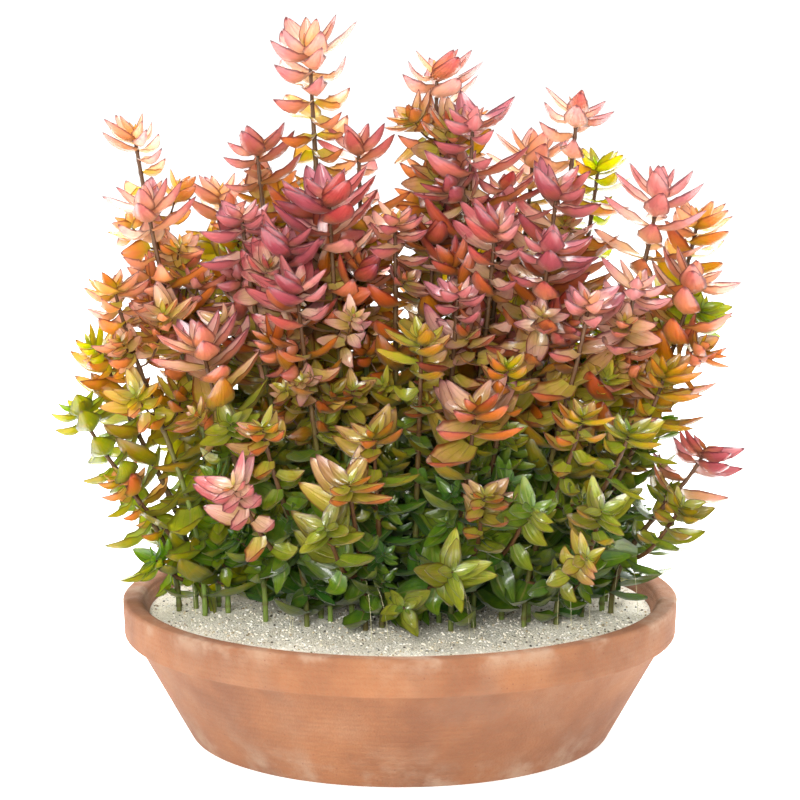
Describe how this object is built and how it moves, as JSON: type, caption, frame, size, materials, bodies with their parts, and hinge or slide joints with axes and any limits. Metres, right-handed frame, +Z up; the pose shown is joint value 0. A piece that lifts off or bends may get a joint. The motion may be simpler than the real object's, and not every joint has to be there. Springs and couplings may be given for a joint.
{
  "type": "potted colorata lemon bacopa",
  "caption": "Dense clump of pink-topped, green-footed aquatic stems with paired leaves, rooted in pale sand in a low round clay pan.",
  "frame": {"origin": "middle of the pan's foot, on the surface that it stands on", "axes": "+Z up, along the pan's axis; the clump is seen from -Y, and its widest spread is along X"},
  "size_m": [0.3027, 0.244, 0.3144],
  "materials": {
    "clay": "matte",
    "sand": "matte",
    "foliage": "satin"
  },
  "bodies": {
    "root": {"pan": "clay", "sand": "sand", "shoot_01": "foliage", "shoot_02": "foliage", "shoot_03": "foliage", "shoot_04": "foliage", "shoot_05": "foliage", "shoot_06": "foliage", "shoot_07": "foliage", "shoot_08": "foliage", "shoot_09": "foliage", "shoot_10": "foliage", "shoot_11": "foliage", "shoot_12": "foliage", "shoot_13": "foliage", "shoot_14": "foliage", "shoot_15": "foliage", "shoot_16": "foliage", "shoot_17": "foliage", "shoot_18": "foliage", "shoot_19": "foliage", "shoot_20": "foliage", "shoot_21": "foliage", "shoot_22": "foliage", "shoot_23": "foliage", "shoot_24": "foliage", "shoot_25": "foliage", "shoot_26": "foliage", "shoot_27": "foliage", "shoot_28": "foliage", "shoot_29": "foliage", "shoot_30": "foliage", "shoot_31": "foliage", "shoot_32": "foliage", "shoot_33": "foliage", "shoot_34": "foliage", "shoot_35": "foliage", "shoot_36": "foliage", "shoot_37": "foliage", "shoot_38": "foliage", "shoot_39": "foliage", "shoot_40": "foliage", "shoot_41": "foliage", "shoot_42": "foliage", "shoot_43": "foliage", "shoot_44": "foliage", "shoot_45": "foliage", "shoot_46": "foliage", "shoot_47": "foliage", "shoot_48": "foliage", "shoot_49": "foliage", "shoot_50": "foliage", "shoot_51": "foliage", "shoot_52": "foliage", "shoot_53": "foliage", "shoot_54": "foliage", "shoot_55": "foliage", "shoot_56": "foliage", "shoot_57": "foliage", "shoot_58": "foliage"}
  },
  "joints": []
}
